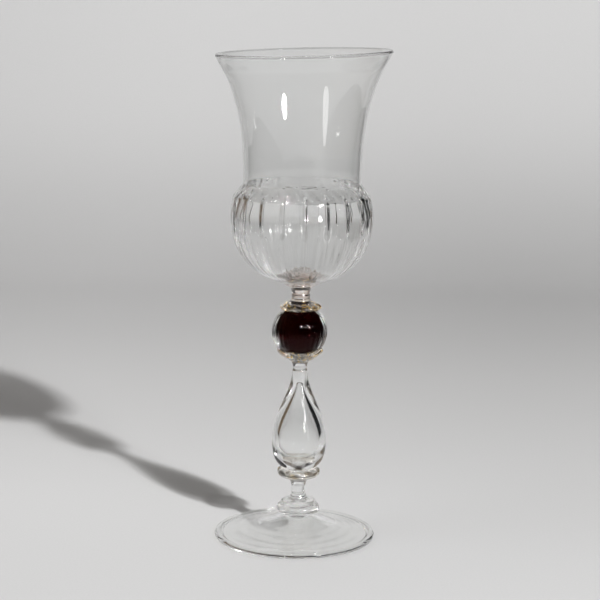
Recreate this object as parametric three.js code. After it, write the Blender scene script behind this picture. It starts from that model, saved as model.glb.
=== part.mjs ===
// A blown-glass goblet: a bell-shaped bowl in a ribbed cup, on a stem of spools, collars, a garnet ball and a
// hollow drop, on a round foot. It is a stack: each piece stands on the flat seat of the one below it.
// Sizes are in millimetres, +Z is up, and the origin is under the middle of the foot.

import * as THREE from 'three';
import { mergeVertices } from 'three/addons/utils/BufferGeometryUtils.js';

// Gap between curved faces that nest in each other
const NEST_GAP = 0.3;

// Foot: a low thin-walled cone with a rolled edge, hollow underneath, standing on a flat ring below that edge
const FOOT_RADIUS = 41.4;
const FOOT_HEIGHT = 12.6;
const FOOT_WALL = 3;
const FOOT_EDGE_WALL = 1.7;
const FOOT_BEAD_RADIUS = 1.45;
const FOOT_BEAD_END = THREE.MathUtils.degToRad(105);
const FOOT_RING_WIDTH = 2;
const FOOT_VALLEY_WIDTH = 2.4;
const FOOT_VALLEY_HEIGHT = 2.5;

// Button: the flattened bead between the foot and the stem
const BUTTON_SEAT_RADIUS = 7.6;
const BUTTON_RADIUS = 11;
const BUTTON_BELLY_HEIGHT = 3;
const BUTTON_SHOULDER_RADIUS = 8.3;
const BUTTON_SHOULDER_HEIGHT = 6.6;
const BUTTON_HEIGHT = 8.2;

// Spools: the short waisted lengths of stem
const LOWER_SPOOL = { foot: 4.5, waist: 3.5, head: 5.4, waistHeight: 5, height: 10.2 };
const NECK_SPOOL = { foot: 3.9, waist: 3.6, head: 4.8, waistHeight: 1.6, height: 5 };
const UPPER_SPOOL = { foot: 5.2, waist: 4.6, head: 5, waistHeight: 2.8, height: 6.3 };

// Collars: flared discs with a round edge, each with a small flat seat on one side and a dish on the other.
// The flare holds the two handles of the curve from the seat to the rim.
const DROP_COLLAR = {
  rim: 10.9,
  rimHeight: 3.5,
  mouth: 8.8,
  height: 5,
  flare: [[0.6, 0.1], [1, 0.45]],
};
const BALL_LOWER_COLLAR = {
  rim: 12,
  rimHeight: 5.5,
  mouth: 11.3,
  height: 2.1,
  flare: [[0.42, 0.3], [0.88, 0.68]],
};
const BALL_UPPER_COLLAR = {
  rim: 10.4,
  rimHeight: 3.2,
  mouth: 9.3,
  height: 2.8,
  flare: [[0.4, 0.42], [0.88, 0.6]],
};

// Drop: a thick-walled hollow teardrop whose bubble runs out through a thin channel at its neck
const DROP_SEAT_RADIUS = 4;
const DROP_RADIUS = 13.85;
const DROP_BELLY_HEIGHT = 13.6;
const DROP_HEIGHT = 51.8;
const BUBBLE_RADIUS = 10.6;
const BUBBLE_FLOOR = 3;
const BUBBLE_BELLY_HEIGHT = 12;
const BUBBLE_TIP_HEIGHT = 45.5;
const CHANNEL_RADIUS = 0.9;

// Ball: a garnet core with a short neck inside a clear casing with fine ribs
const BALL_RADIUS = 14.2;
const BALL_SEAT_RADIUS = 5;
const BALL_RIBS = 32;
const BALL_RIB_HEIGHT = 0.25;
const CORE_RADIUS = 9.5;
const CORE_NECK_RADIUS = 3.5;

// Bowl: a bell with a belly, a neck, a flared lip and a thick floor that rises in the middle
const BOWL_SEAT_RADIUS = 9;
const BOWL_BELLY_RADIUS = 34.1;
const BOWL_BELLY_HEIGHT = 32.2;
const BOWL_NECK_RADIUS = 29.75;
const BOWL_NECK_HEIGHT = 50.2;
const BOWL_RIM_RADIUS = 44.4;
const BOWL_HEIGHT = 115;
const BOWL_WALL = 1.1;
const BOWL_LIP = 2;
const BOWL_LIP_REACH = 10;
const BOWL_KICK_HEIGHT = 7;
const BOWL_KICK_RADIUS = 17;

// Ribbed cup: the second layer of glass round the bowl's belly, moulded into broad ribs with narrow grooves.
// Above the belly its panels draw in to a shoulder, and a cone closes on the bowl. Rises count from the belly.
const CUP_HEEL = 4.2;
const CUP_HEEL_RADIUS = 8.4;
const CUP_FILLET = 2;
const CUP_WALL = 1.7;
const CUP_PANEL_DRAW = 1.2;
const CUP_PANEL_RISE = 9.9;
const CUP_SHOULDER_DRAW = 1.9;
const CUP_SHOULDER_RISE = 11.5;
const CUP_LIP_RISE = 16.6;
const CUP_LIP = 0.4;
const CUP_RIBS = 20;
const CUP_GROOVE_DEPTH = 1.15;
const CUP_GROOVE_WIDTH = 3;
const CUP_GROOVE_REACH = 11.9;
const CUP_TURN = THREE.MathUtils.degToRad(-6.6);

// How bluntly a groove of the cup ends: the higher, the longer it keeps its full depth
const GROOVE_END = 8;

// Two outline points closer than this are one point
const SAME_POINT = 1e-4;

const CLEAR = 0xdfe3e2;
const GOLD_TINT = 0xd2c6a4;
const GARNET = 0x2c070c;

// An outline in the plane of radius and height, drawn from point to point
class Outline {
  constructor(radius, height) {
    this.points = [new THREE.Vector2(radius, height)];
  }

  get end() {
    return this.points[this.points.length - 1];
  }

  follow(points) {
    for (const point of points) {
      if (point.distanceTo(this.end) > SAME_POINT) {
        this.points.push(point);
      }
    }
    return this;
  }

  line(radius, height) {
    return this.follow([new THREE.Vector2(radius, height)]);
  }

  // A curve whose two handles are given as shares of the way across and of the way up
  sweep(radius, height, [acrossA, upA], [acrossB, upB], steps) {
    const start = this.end;
    const finish = new THREE.Vector2(radius, height);
    const across = radius - start.x;
    const up = height - start.y;
    const handleA = new THREE.Vector2(start.x + acrossA * across, start.y + upA * up);
    const handleB = new THREE.Vector2(start.x + acrossB * across, start.y + upB * up);
    return this.follow(new THREE.CubicBezierCurve(start, handleA, handleB, finish).getPoints(steps));
  }

  arc(radius, height, size, from, to, steps) {
    const curve = new THREE.EllipseCurve(radius, height, size, size, from, to, to < from);
    return this.follow(curve.getPoints(steps));
  }
}

// Moves each point of an outline outwards, square to the outline, by the distance given for it
function grow(points, distanceAt) {
  return points.map((point, index) => {
    const before = points[Math.max(index - 1, 0)];
    const after = points[Math.min(index + 1, points.length - 1)];
    const along = after.clone().sub(before).normalize();
    const distance = distanceAt(point);
    return new THREE.Vector2(Math.max(point.x + along.y * distance, 0), point.y - along.x * distance);
  });
}

// The radius of an outline at a height, for a stretch that only rises
function radiusAt(points, height) {
  const next = points.findIndex((point) => point.y >= height);
  const above = points[Math.max(next, 1)];
  const below = points[Math.max(next, 1) - 1];
  return THREE.MathUtils.mapLinear(height, below.y, above.y, below.x, above.x);
}

// Angles spread evenly round a piece
function evenAngles(count) {
  return Array.from({ length: count }, (_, step) => (step / count) * 2 * Math.PI);
}

const STEM_ANGLES = evenAngles(24);
const FOOT_ANGLES = evenAngles(36);
const BOWL_ANGLES = evenAngles(44);
const BALL_ANGLES = evenAngles(2 * BALL_RIBS);

// Turns an outline round the Z axis, through the given angles. A form moves each point of the turned outline.
function revolve(points, angles, form = (point) => point) {
  const geometry = new THREE.LatheGeometry(points, angles.length);
  const position = geometry.getAttribute('position');
  for (let facet = 0; facet <= angles.length; facet += 1) {
    const angle = angles[facet % angles.length];
    points.forEach((point, index) => {
      const moved = form(point, angle, index);
      const vertex = facet * points.length + index;
      position.setXYZ(vertex, moved.x * Math.sin(angle), moved.y, moved.x * Math.cos(angle));
    });
  }
  geometry.deleteAttribute('normal');
  geometry.deleteAttribute('uv');
  geometry.rotateX(Math.PI / 2);
  return mergeVertices(geometry, SAME_POINT);
}

function footOutline() {
  const ring = FOOT_RADIUS - FOOT_BEAD_RADIUS;
  const top = new Outline(ring - FOOT_VALLEY_WIDTH, FOOT_VALLEY_HEIGHT)
    .sweep(BUTTON_SEAT_RADIUS, FOOT_HEIGHT, [0.4, 0.15], [0.8, 0.75], 5).points;
  const wallAt = (point) => {
    const share = THREE.MathUtils.smoothstep(point.x, BUTTON_SEAT_RADIUS, ring - FOOT_VALLEY_WIDTH);
    return -THREE.MathUtils.lerp(FOOT_WALL, FOOT_EDGE_WALL, share);
  };
  const inside = grow(top, wallAt).reverse();
  return new Outline(0, inside[0].y)
    .follow(inside)
    .line(ring - FOOT_RING_WIDTH, 0)
    .line(ring, 0)
    .arc(ring, FOOT_BEAD_RADIUS, FOOT_BEAD_RADIUS, -Math.PI / 2, FOOT_BEAD_END, 4)
    .follow(top)
    .line(0, FOOT_HEIGHT);
}

function buttonOutline() {
  return new Outline(0, 0)
    .line(BUTTON_SEAT_RADIUS, 0)
    .sweep(BUTTON_RADIUS, BUTTON_BELLY_HEIGHT, [0.75, 0.08], [1, 0.5], 3)
    .sweep(BUTTON_SHOULDER_RADIUS, BUTTON_SHOULDER_HEIGHT, [0, 0.45], [0.45, 0.85], 3)
    .sweep(LOWER_SPOOL.foot, BUTTON_HEIGHT, [0.5, 0.5], [0.8, 0.6], 2)
    .line(0, BUTTON_HEIGHT);
}

function spoolOutline({ foot, waist, head, waistHeight, height }) {
  return new Outline(0, 0)
    .line(foot, 0)
    .sweep(waist, waistHeight, [0.7, 0.3], [1, 0.5], 2)
    .sweep(head, height, [0, 0.4], [0.45, 0.8], 3)
    .line(0, height);
}

// A collar that stands on a seat of the given radius, with a dish for the rounded end that stands in it
function collarOutline({ rim, rimHeight, mouth, height, flare }, seatRadius, nested) {
  const dish = grow(nested, () => NEST_GAP)
    .map((point) => new THREE.Vector2(point.x, point.y + height))
    .filter((point) => point.x < mouth && point.y > height)
    .reverse();
  const edge = dish[0];
  return new Outline(0, 0)
    .line(seatRadius, 0)
    .sweep(rim, rimHeight, ...flare, 3)
    .sweep(edge.x, edge.y, [0, 0.7], [0.45, 1], 3)
    .follow(dish)
    .line(radiusAt(nested, 0), height)
    .line(0, height);
}

// The drop's rounded end, from its seat to its belly
function dropEnd() {
  const seat = new Outline(DROP_SEAT_RADIUS, 0);
  return seat.sweep(DROP_RADIUS, DROP_BELLY_HEIGHT, [0.33, 0.02], [1, 0.09], 7).points;
}

function dropOutline() {
  return new Outline(0, 0)
    .follow(dropEnd())
    .sweep(NECK_SPOOL.foot, DROP_HEIGHT, [0, 0.45], [1, 0.69], 7)
    .line(CHANNEL_RADIUS, DROP_HEIGHT)
    .line(CHANNEL_RADIUS, BUBBLE_TIP_HEIGHT)
    .sweep(BUBBLE_RADIUS, BUBBLE_BELLY_HEIGHT, [0.34, 0.46], [1, 0.62], 6)
    .sweep(0, BUBBLE_FLOOR, [0, 0.5523], [0.4477, 1], 4);
}

const BALL_CENTRE = Math.sqrt(BALL_RADIUS ** 2 - BALL_SEAT_RADIUS ** 2);
const BALL_HEIGHT = 2 * BALL_CENTRE;

// The ball's round side, from the edge of its lower seat to its belly, or on to the edge of its upper seat
const BALL_TILT = Math.atan2(BALL_CENTRE, BALL_SEAT_RADIUS);

function ballSide(to, steps) {
  return new Outline(BALL_SEAT_RADIUS, 0).arc(0, BALL_CENTRE, BALL_RADIUS, -BALL_TILT, to, steps).points;
}

// The core's outline, from its lowest point to the top of its neck, grown by a gap
function coreSide(gap) {
  const size = CORE_RADIUS + gap;
  const neck = CORE_NECK_RADIUS + gap;
  return new Outline(0, BALL_CENTRE - size)
    .arc(0, BALL_CENTRE, size, -Math.PI / 2, Math.acos(neck / size), 6)
    .line(neck, BALL_HEIGHT);
}

function coreGeometry() {
  return stemPiece(coreSide(0).line(0, BALL_HEIGHT));
}

// The casing's ribs fade out towards its seats. Every other angle round it lies in the groove between two ribs.
function casingGeometry() {
  const outside = new Outline(0, 0).follow(ballSide(BALL_TILT, 8));
  const outsideCount = outside.points.length;
  const outline = outside.follow(coreSide(NEST_GAP).points.reverse());
  const form = (point, angle, index) => {
    const fade = Math.max(1 - ((point.y - BALL_CENTRE) / BALL_CENTRE) ** 2, 0);
    const groove = 1 - Math.abs(Math.cos((angle * BALL_RIBS) / 2));
    const depth = index < outsideCount ? BALL_RIB_HEIGHT * fade * groove : 0;
    return new THREE.Vector2(point.x - depth, point.y);
  };
  return revolve(outline.points, BALL_ANGLES, form);
}

// The bowl's outer face, from the middle of its base to the bead of its lip
function bowlSide() {
  const bead = BOWL_LIP / 2;
  return new Outline(0, 0)
    .line(BOWL_SEAT_RADIUS, 0)
    .sweep(BOWL_BELLY_RADIUS, BOWL_BELLY_HEIGHT, [0.29, 0.02], [1, 0.25], 6)
    .sweep(BOWL_NECK_RADIUS, BOWL_NECK_HEIGHT, [0, 0.25], [1, 0.75], 4)
    .sweep(BOWL_RIM_RADIUS, BOWL_HEIGHT - bead, [0, 0.64], [0.66, 0.86], 6);
}

function bowlGeometry() {
  const outside = bowlSide();
  const lipStart = BOWL_HEIGHT - BOWL_LIP_REACH;
  const wallAt = (point) => {
    const share = THREE.MathUtils.smoothstep(point.y, lipStart, BOWL_HEIGHT - BOWL_LIP / 2);
    return -THREE.MathUtils.lerp(BOWL_WALL, BOWL_LIP, share);
  };
  const kickAt = (point) => BOWL_KICK_HEIGHT * (1 - THREE.MathUtils.smoothstep(point.x, 0, BOWL_KICK_RADIUS));
  const inside = grow(outside.points, wallAt)
    .map((point) => new THREE.Vector2(point.x, point.y + kickAt(point)))
    .reverse();
  const middle = outside.end.clone().lerp(inside[0], 0.5);
  const lean = outside.end.clone().sub(middle).angle() - 2 * Math.PI;
  outside.arc(middle.x, middle.y, BOWL_LIP / 2, lean, lean + Math.PI, 3).follow(inside);
  return revolve(outside.points, BOWL_ANGLES);
}

// Half the angle that a groove of the cup takes up, and the angle from one groove to the next
const CUP_BELLY_RADIUS = BOWL_BELLY_RADIUS + NEST_GAP + CUP_WALL;
const CUP_GROOVE_HALF = CUP_GROOVE_WIDTH / 2 / CUP_BELLY_RADIUS;
const CUP_PITCH = (2 * Math.PI) / CUP_RIBS;

// Angles round the cup: for each rib, the edges and the bottom of the groove before it, and its own crest
function cupAngles() {
  return Array.from({ length: CUP_RIBS }, (_, rib) => {
    const groove = CUP_TURN + (rib + 0.5) * CUP_PITCH;
    return [groove - CUP_GROOVE_HALF, groove, groove + CUP_GROOVE_HALF, groove + CUP_PITCH / 2];
  }).flat();
}

// How deep a groove is at an angle: 1 at its bottom, and 0 from its edges on
function grooveShare(angle) {
  const fromCrest = THREE.MathUtils.euclideanModulo(angle - CUP_TURN, CUP_PITCH);
  return Math.max(1 - Math.abs(fromCrest - CUP_PITCH / 2) / CUP_GROOVE_HALF, 0);
}

// The cup holds the bowl's base on its heel, and its lip closes round the bowl just below the bowl's neck
function cupGeometry() {
  const bowl = bowlSide().points.map((point) => new THREE.Vector2(point.x, point.y + CUP_HEEL));
  const nest = grow(bowl, () => NEST_GAP);
  const bellyHeight = CUP_HEEL + BOWL_BELLY_HEIGHT;
  const lipHeight = bellyHeight + CUP_LIP_RISE;
  const lipRadius = radiusAt(nest, lipHeight);
  const outside = new Outline(0, 0)
    .line(UPPER_SPOOL.head, 0)
    .sweep(CUP_HEEL_RADIUS, CUP_FILLET, [0, 0.6], [0.5, 1], 2)
    .sweep(CUP_BELLY_RADIUS, bellyHeight, [0.26, 0.06], [1, 0.24], 7)
    .sweep(CUP_BELLY_RADIUS - CUP_PANEL_DRAW, bellyHeight + CUP_PANEL_RISE, [0, 0.4], [0.57, 0.67], 2)
    .sweep(CUP_BELLY_RADIUS - CUP_SHOULDER_DRAW, bellyHeight + CUP_SHOULDER_RISE, [0.17, 0.46], [0.31, 0.64], 2)
    .line(lipRadius + CUP_LIP, lipHeight);
  const outsideCount = outside.points.length;
  const inside = nest.filter((point) => point.y < lipHeight && point.y > CUP_HEEL).reverse();
  outside.line(lipRadius, lipHeight).follow(inside).line(BOWL_SEAT_RADIUS, CUP_HEEL).line(0, CUP_HEEL);

  const form = (point, angle, index) => {
    const along = Math.abs(point.y - bellyHeight) / CUP_GROOVE_REACH;
    const fade = index < outsideCount ? Math.max(1 - along ** GROOVE_END, 0) : 0;
    return new THREE.Vector2(point.x - CUP_GROOVE_DEPTH * fade * grooveShare(angle), point.y);
  };
  return revolve(outside.points, cupAngles(), form);
}

const goblet = new THREE.Group();

// Adds a piece at a height, with its foot there, or with its head there where it is turned over
function place(name, color, geometry, height, turnedOver = false) {
  const material = new THREE.MeshStandardMaterial({ color, roughness: 0.05, metalness: 0 });
  const mesh = new THREE.Mesh(geometry, material);
  mesh.name = name;
  mesh.position.z = height;
  mesh.rotation.x = turnedOver ? Math.PI : 0;
  goblet.add(mesh);
}

function stemPiece(outline) {
  return revolve(outline.points, STEM_ANGLES);
}

// Heights of the seats, from the table up
const buttonFoot = FOOT_HEIGHT;
const lowerSpoolFoot = buttonFoot + BUTTON_HEIGHT;
const dropCollarFoot = lowerSpoolFoot + LOWER_SPOOL.height;
const dropFoot = dropCollarFoot + DROP_COLLAR.height;
const neckSpoolFoot = dropFoot + DROP_HEIGHT;
const ballLowerCollarFoot = neckSpoolFoot + NECK_SPOOL.height;
const ballFoot = ballLowerCollarFoot + BALL_LOWER_COLLAR.height;
const ballUpperCollarHead = ballFoot + BALL_HEIGHT + BALL_UPPER_COLLAR.height;
const cupFoot = ballUpperCollarHead + UPPER_SPOOL.height;
const bowlFoot = cupFoot + CUP_HEEL;

const ballEnd = ballSide(0, 8);
const dropCollar = collarOutline(DROP_COLLAR, LOWER_SPOOL.head, dropEnd());
const ballLowerCollar = collarOutline(BALL_LOWER_COLLAR, NECK_SPOOL.head, ballEnd);
const ballUpperCollar = collarOutline(BALL_UPPER_COLLAR, UPPER_SPOOL.foot, ballEnd);

place('foot', CLEAR, revolve(footOutline().points, FOOT_ANGLES), 0);
place('foot_button', CLEAR, stemPiece(buttonOutline()), buttonFoot);
place('lower_spool', CLEAR, stemPiece(spoolOutline(LOWER_SPOOL)), lowerSpoolFoot);
place('drop_collar', GOLD_TINT, stemPiece(dropCollar), dropCollarFoot);
place('teardrop', CLEAR, stemPiece(dropOutline()), dropFoot);
place('neck_spool', CLEAR, stemPiece(spoolOutline(NECK_SPOOL)), neckSpoolFoot);
place('ball_lower_collar', GOLD_TINT, stemPiece(ballLowerCollar), ballLowerCollarFoot);
place('ball_core', GARNET, coreGeometry(), ballFoot);
place('ball_casing', CLEAR, casingGeometry(), ballFoot);
place('ball_upper_collar', GOLD_TINT, stemPiece(ballUpperCollar), ballUpperCollarHead, true);
place('upper_spool', CLEAR, stemPiece(spoolOutline(UPPER_SPOOL)), ballUpperCollarHead);
place('ribbed_cup', CLEAR, cupGeometry(), cupFoot);
place('bowl', CLEAR, bowlGeometry(), bowlFoot);

export default goblet;
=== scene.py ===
"""Looks of the blown-glass goblet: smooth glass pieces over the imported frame, on a pale paper sweep."""

import math

import bpy
import numpy as np
from mathutils import Matrix, Vector


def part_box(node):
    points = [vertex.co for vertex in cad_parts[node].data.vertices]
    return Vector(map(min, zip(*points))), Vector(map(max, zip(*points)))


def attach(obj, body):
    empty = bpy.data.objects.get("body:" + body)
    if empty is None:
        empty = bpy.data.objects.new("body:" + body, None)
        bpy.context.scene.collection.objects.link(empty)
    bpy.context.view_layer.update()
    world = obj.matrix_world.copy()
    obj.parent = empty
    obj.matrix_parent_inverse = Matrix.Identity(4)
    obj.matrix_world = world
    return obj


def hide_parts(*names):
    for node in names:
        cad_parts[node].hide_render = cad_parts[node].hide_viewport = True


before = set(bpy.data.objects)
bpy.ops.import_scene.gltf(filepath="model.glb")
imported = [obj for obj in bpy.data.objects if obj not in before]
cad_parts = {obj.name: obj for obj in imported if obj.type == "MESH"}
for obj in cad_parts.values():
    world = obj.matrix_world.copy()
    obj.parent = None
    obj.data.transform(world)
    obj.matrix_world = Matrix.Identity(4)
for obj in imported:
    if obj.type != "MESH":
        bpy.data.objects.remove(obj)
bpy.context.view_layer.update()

MM = 0.001


def foot_of(node):
    """Lowest height of a CAD node, in millimetres."""
    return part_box(node)[0].z / MM


def head_of(node):
    """Highest height of a CAD node, in millimetres."""
    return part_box(node)[1].z / MM


def reach_of(node):
    """Largest radius of a CAD node, in millimetres."""
    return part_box(node)[1].x / MM


# Sizes of the pieces in millimetres, each with its foot at height 0

FOOT = {
    "radius": reach_of("foot"), "height": head_of("foot"), "bead": 1.45, "bead_end": math.radians(105),
    "ring": 1.2, "valley": 2.4, "valley_height": 2.494, "edge_wall": 1.7, "wall": 3.0, "wall_run": (8, 39),
    "flat_inset": 1.5,
}
BUTTON = {
    "seat": 7.6, "radius": reach_of("foot_button"), "belly": 3.0, "crease": 8.1, "crease_height": 5.3,
    "shoulder": 8.6, "shoulder_height": 6.4, "height": foot_of("lower_spool") - head_of("foot"),
}
LOWER_SPOOL = {"foot": 4.5, "waist": 3.5, "head": 5.4, "waist_height": 5, "height": 10.2}
NECK_SPOOL = {"foot": 3.9, "waist": 3.6, "head": 4.8, "waist_height": 1.6, "height": 5}
UPPER_SPOOL = {"foot": 5.2, "waist": 4.6, "head": 5.6, "waist_height": 3.4, "height": 6.3}
DROP_COLLAR = {
    "rim": 10.9, "rim_height": 3.3, "mouth": 7.8, "height": 5, "lobes": 7, "wave": 0.25, "phase": 0.4,
    "flare": ((0.6, 0.1), (1, 0.45)),
}
BALL_LOWER_COLLAR = {
    "rim": 12, "rim_height": 5.5, "mouth": 11.3, "height": 2.1, "lobes": 8, "wave": 0.45, "phase": 2.79,
    "flare": ((0.42, 0.3), (0.88, 0.68)),
}
BALL_UPPER_COLLAR = {
    "rim": 10.4, "rim_height": 3.2, "mouth": 9.3, "height": 2.8, "lobes": 6, "wave": 0.3, "phase": 2.3,
    "flare": ((0.4, 0.42), (0.88, 0.6)),
}
DROP = {"seat": 4, "radius": 13.85, "belly": 13.6, "height": 51.8}
BUBBLE = {
    "radius": 10.6, "floor": 4.2, "belly": 13.6, "tip": 45.5, "tip_radius": 1.2, "tip_end": math.radians(15),
}
BALL = {"radius": 14.2, "seat": 5, "ribs": 32, "rib": 0.25, "off_centre": -0.4}
CORE = {"radius": 9.0, "neck": 3.5}
CUP = {
    "heel": 4.2, "heel_radius": 11, "fillet": 3.2, "belly": 36.1, "belly_height": 36.4,
    "panel": 34.9, "panel_height": 46.3, "shoulder": 34.0, "shoulder_height": 47.9, "lip_height": 53.6,
    "ribs": 20, "turn": math.radians(-6.6),
}
BOWL = {
    "seat": 9, "belly": 34.1, "belly_height": CUP["belly_height"] - CUP["heel"],
    "neck": 29.75, "neck_height": 54.4 - CUP["heel"], "rim": 44.4, "height": 119.2 - CUP["heel"],
    "wall": 1.1, "floor_wall": 0.7, "wall_run": (5, 25), "lip": 2.0, "lip_reach": 10,
    "kick": 7, "kick_radius": 17,
}

# Gap between curved faces that are melted together, and between a collar's dish and what stands in it
MELT_GAP = 0.02
NEST_GAP = 0.5

# Marks of the hand work, in millimetres

# Widths of grooves and lumps are shares of half a rib, and far_share is what is left of a mark at the back.
# A wave is given by its size, its count round the axis, its lean and its start.
QUARTER_TURN = math.pi / 2
GROOVE = {
    "depth": 1.15, "width": 0.27, "foot": 29.5, "head": 50.6, "head_fall": 2.4,
    "fullness": 8, "far_share": 0.5,
    "tail": 0.16, "tail_width": 0.108, "tail_run": (6, 14), "waves": ((0.2, 3, 0, 0.5), (0.12, 8, 0, 0)),
}
LUMP = {
    "size": 0.3, "width": 0.3, "length": 1.0, "rise": 0.9, "far_share": 0.2,
    "waves": ((0.5, 5, 0, 1), (0.4, 9, 0, 0)),
}
WRINKLE = {
    "rise": (4, 12), "fall": (24.2, 31.2),
    "waves": ((0.09, 43, 0, QUARTER_TURN), (0.06, 67, 0, QUARTER_TURN + 1)),
}
DENTS = {
    "rise": (47, 48.6), "fall": (51, CUP["lip_height"]),
    "waves": ((0.2, 33, 0.8, 0), (0.16, 51, -1.1, 2), (0.1, 77, 1.6, 0)),
}
LIP = {"scallop": 0.4, "sag": 0.35, "below": 2, "above": 16, "waves": ((0.2, 7, 0, 1), (0.15, 31, 0, 2.2))}
RIM = {"to_right": 1.5, "to_front": -0.7, "lift": -0.6, "waves": ((0.22, 2, 0, 0.6), (0.1, 3, 0, 2))}
CRUMPLE = {"rings": 3.2, "drift": ((2.2, 3, 0, 1), (1.6, 7, 0, 0)), "waves": ((0.7, 11, 2, 0),)}
FLOOR_CRUMPLE = {"size": 0.25, "rise": (0.5, 2), "fall": (11, 15), "turn": 0}
HEEL_CRUMPLE = {"size": 0.12, "rise": (UPPER_SPOOL["head"], 8), "fall": (10, 13), "turn": 1}
FOOT_SPIN = {"off_centre": -1.8, "ripple": 0.035, "pitch": 5.5, "rise": (14, 22), "fall": (34, 39)}
SPOOL_RINGS = {"count": 2.5, "depth": 0.17}
BUTTON_LUMPS = {
    "rise": (5, 10), "waves": ((0.014, 5, 0, QUARTER_TURN + 0.6), (0.01, 9, 0, QUARTER_TURN + 2)),
}
COLLAR_NIP = {"from": 0.7, "outward": 0.6, "uneven": 0.3, "extra_lobes": 4, "extra_share": 0.5}


# Outlines and turning

# Edges that turn more than this stay sharp
SHARP_EDGE = math.radians(40)

# Points that are nearer to each other or to the axis than this are one point
SAME_POINT = 1e-5

# Handles of a sweep along a quarter of a circle, which starts upright and ends level
QUARTER_CIRCLE = (0, 0.5523), (0.4477, 1)


def smoothstep(value, low, high):
    share = np.clip((value - low) / (high - low), 0, 1)
    return share * share * (3 - 2 * share)


def between(value, rise, fall):
    """Rises from 0 to 1 along one stretch and falls back to 0 along another."""
    return smoothstep(value, *rise) * (1 - smoothstep(value, *fall))


def waves(terms, angle, along=0.0):
    """A sum of waves round the axis that lean with a second value."""
    return sum(size * np.sin(count * angle + lean * along + start) for size, count, lean, start in terms)


def facing(angle, far_share=0.0):
    """1 on the side that faces the camera, falling to a share on the far side."""
    return far_share + (1 - far_share) * (0.5 + 0.5 * np.cos(angle))


class Outline:
    """An outline in the plane of radius and height, in millimetres, drawn from point to point.
    Stretches drawn as melted are where a piece is melted onto its neighbour, so nothing shows there."""

    def __init__(self, radius, height):
        self.points = [(radius, height)]
        self.melted = []

    def follow(self, points, melted=False):
        for point in points:
            if math.dist(point, self.points[-1]) > SAME_POINT:
                self.points.append((float(point[0]), float(point[1])))
                self.melted.append(melted)
        return self

    def line(self, radius, height, steps=6, melted=False):
        start = np.array(self.points[-1])
        share = np.linspace(0, 1, steps + 1)[1:, None]
        return self.follow(start + share * (np.array((radius, height)) - start), melted)

    def sweep(self, radius, height, first, second, steps=24, melted=False):
        """A curve whose two handles are given as shares of the way across and of the way up."""
        start = np.array(self.points[-1])
        way = np.array((radius, height)) - start
        handle_a = start + np.array(first) * way
        handle_b = start + np.array(second) * way
        share = np.linspace(0, 1, steps + 1)[1:, None]
        rest = 1 - share
        curve = rest**3 * start + 3 * rest**2 * share * handle_a
        curve += 3 * rest * share**2 * handle_b + share**3 * (start + way)
        return self.follow(curve, melted)

    def arc(self, radius, height, size, start, end, steps=24, melted=False):
        angle = np.linspace(start, end, steps + 1)
        curve = np.stack((radius + size * np.cos(angle), height + size * np.sin(angle)), axis=1)
        return self.follow(curve, melted)

    def raised(self, height):
        self.points = [(radius, at + height) for radius, at in self.points]
        return self

    def turned_over(self, height):
        """The outline upside down, with what was its foot at the given height."""
        self.points = [(radius, height - at) for radius, at in reversed(self.points)]
        self.melted = self.melted[::-1]
        return self


def grow(points, distance):
    """Moves each point of an outline outwards, square to the outline."""
    points = np.array(points)
    along = np.gradient(points, axis=0)
    along /= np.linalg.norm(along, axis=1, keepdims=True)
    moved = points + np.stack((along[:, 1], -along[:, 0]), axis=1) * np.reshape(distance, (-1, 1))
    moved[:, 0] = np.maximum(moved[:, 0], 0)
    return moved


def polar(radius, height, angle):
    """Points round the Z axis. Angle 0 faces the camera and a quarter turn is to its right."""
    return radius * np.sin(angle), -radius * np.cos(angle), height


def turn(name, outline, angle, form=polar):
    """A closed mesh made by turning an outline round the Z axis. Its material slots are glass and melted."""
    points = np.array(outline.points)
    rows, columns = len(points), len(angle)
    radius = np.repeat(points[:, :1], columns, axis=1)
    height = np.repeat(points[:, 1:], columns, axis=1)
    place = np.stack(form(radius, height, np.repeat(angle[None], rows, axis=0)), axis=2)

    vertices = []
    index = np.zeros((rows, columns), int)
    for row in range(rows):
        if points[row, 0] < SAME_POINT:
            index[row] = len(vertices)
            vertices.append(place[row].mean(axis=0))
        else:
            index[row] = len(vertices) + np.arange(columns)
            vertices.extend(place[row])

    faces, melted = [], []
    for row in range(rows - 1):
        low, high = index[row], index[row + 1]
        for column in range(columns):
            after = (column + 1) % columns
            corners = (low[column], low[after], high[after], high[column])
            faces.append(tuple(dict.fromkeys(int(corner) for corner in corners)))
            melted.append(int(outline.melted[row]))

    mesh = bpy.data.meshes.new(name)
    mesh.from_pydata(np.array(vertices) * MM, [], faces)
    mesh.polygons.foreach_set("use_smooth", [True] * len(faces))
    mesh.polygons.foreach_set("material_index", melted)
    mesh.set_sharp_from_angle(angle=SHARP_EDGE)
    mesh.update()
    piece = bpy.data.objects.new(name, mesh)
    bpy.context.scene.collection.objects.link(piece)
    return piece


def round_steps(count):
    return np.linspace(0, 2 * math.pi, count, endpoint=False)


STEM_ROUND = round_steps(96)
DROP_ROUND = round_steps(128)
COLLAR_ROUND = round_steps(144)
FOOT_ROUND = round_steps(256)
CASING_ROUND = round_steps(12 * BALL["ribs"])


# Foot and stem


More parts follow.
